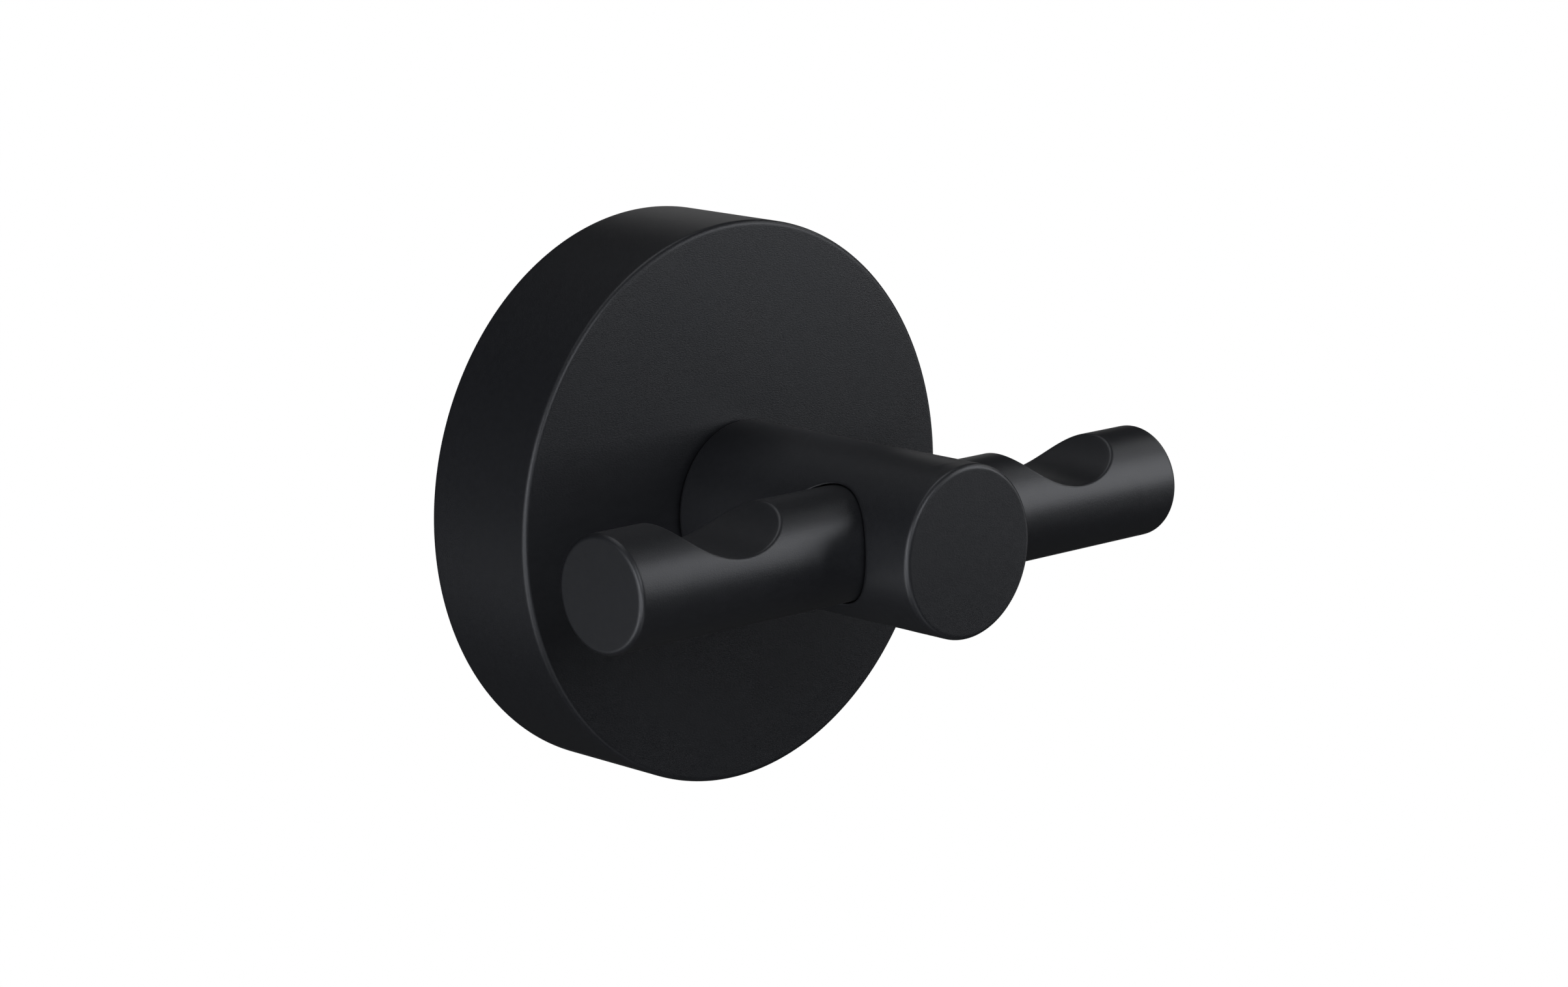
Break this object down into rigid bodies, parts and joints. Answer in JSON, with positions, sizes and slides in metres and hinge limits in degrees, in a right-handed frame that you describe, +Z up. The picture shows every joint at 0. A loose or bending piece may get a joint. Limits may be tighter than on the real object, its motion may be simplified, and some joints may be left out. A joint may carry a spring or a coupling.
{
  "type": "robe hook",
  "caption": "Wall robe hook: a round rose carries a short round post, crossed near its front end by a round bar with a saddle notch in the top of each arm.",
  "frame": {"origin": "centre of the rose's rear rim, on the wall plane, midway between the two wall screw holes", "axes": "+X along the crossbar, +Y into the wall along the post's axis, +Z up"},
  "size_m": [0.065, 0.0398, 0.05],
  "materials": {
    "rose": "matt black powder coat with a fine grain",
    "post": "satin matt black coat",
    "crossbar": "satin matt black coat",
    "wall_bracket": "bare zinc casting",
    "rose_set_screw": "black oxide steel",
    "bar_lock_screw": "zinc plated steel",
    "post_screw": "zinc plated steel",
    "post_washer": "zinc plated steel",
    "spring_washer": "zinc plated steel"
  },
  "bodies": {
    "root": {"rose": "rose", "post": "post", "crossbar": "crossbar", "wall_bracket": "wall_bracket", "rose_set_screw": "rose_set_screw", "bar_lock_screw": "bar_lock_screw", "post_screw": "post_screw", "post_washer": "post_washer", "spring_washer": "spring_washer"}
  },
  "joints": []
}
